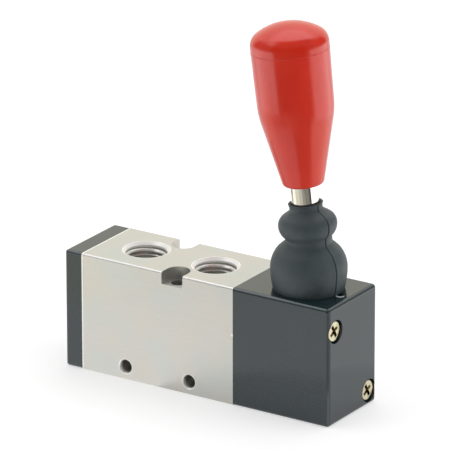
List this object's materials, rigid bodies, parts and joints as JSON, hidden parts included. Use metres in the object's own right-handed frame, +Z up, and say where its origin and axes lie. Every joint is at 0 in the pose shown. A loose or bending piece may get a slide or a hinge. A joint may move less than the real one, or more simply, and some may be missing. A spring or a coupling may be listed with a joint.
{
  "type": "hand lever air valve",
  "caption": "Hand lever spool valve for air: aluminium body with ports, dark end blocks, rubber boot and a leaning red handle on a bright rod, returned by a spring.",
  "frame": {"origin": "on the resting face, under the middle of the valve's overall box", "axes": "+X along the valve from its end cap to its lever housing, +Z up along the lever, +Y to the far side"},
  "size_m": [0.1006, 0.0286, 0.1276],
  "materials": {
    "body_aluminium": "satin, brushed lengthwise",
    "black_metal": "black, satin to semi-gloss",
    "zinc_screws": "pale yellow zinc",
    "seal_rubber": "black nitrile",
    "carrier_steel": "turned steel",
    "ground_steel": "ground steel",
    "dark_steel": "black oxide",
    "bronze": "sintered bronze",
    "chromed_rod": "polished plating",
    "brass_insert": "turned brass",
    "red_grip": "orange red moulding, satin",
    "boot_rubber": "dark blue grey, matt",
    "spool_aluminium": "ground and hard anodised",
    "ptfe": "white, smooth"
  },
  "bodies": {
    "valve": {"valve_body": "body_aluminium", "end_cap": "black_metal", "end_cap_screws": "zinc_screws", "end_cap_seal": "seal_rubber", "lever_housing": "black_metal", "housing_screws": "zinc_screws", "housing_seal": "seal_rubber", "pivot_carrier": "carrier_steel", "pivot_pin": "ground_steel", "carrier_lock_screw": "dark_steel", "rubber_boot": "boot_rubber", "spring_seat": "bronze", "return_spring": "ground_steel"},
    "lever": {"lever_rod": "chromed_rod", "handle_grip": "red_grip", "grip_insert": "brass_insert", "lever_bush": "bronze"},
    "spool": {"spool": "spool_aluminium", "spool_seals": "seal_rubber", "spool_guide_rings": "ptfe"}
  },
  "joints": [
    {"name": "lever_tilt", "type": "hinge", "parent": "valve", "child": "lever", "pos_m": [0.03537, 0, 0.043], "axis": [0, 1, 0], "range_deg": [0, 13.46], "stiffness_Nm_per_rad": 1.57, "springref_deg": -13.69, "deforming": ["rubber_boot"]},
    {"name": "spool_slide", "type": "slide", "parent": "valve", "child": "spool", "axis": [-1, 0, 0], "range_m": [0, 0.00588], "deforming": ["return_spring"]}
  ],
  "couplings": [
    {"joint": "spool_slide", "follows": "lever_tilt", "m_per_rad": 0.025015}
  ]
}
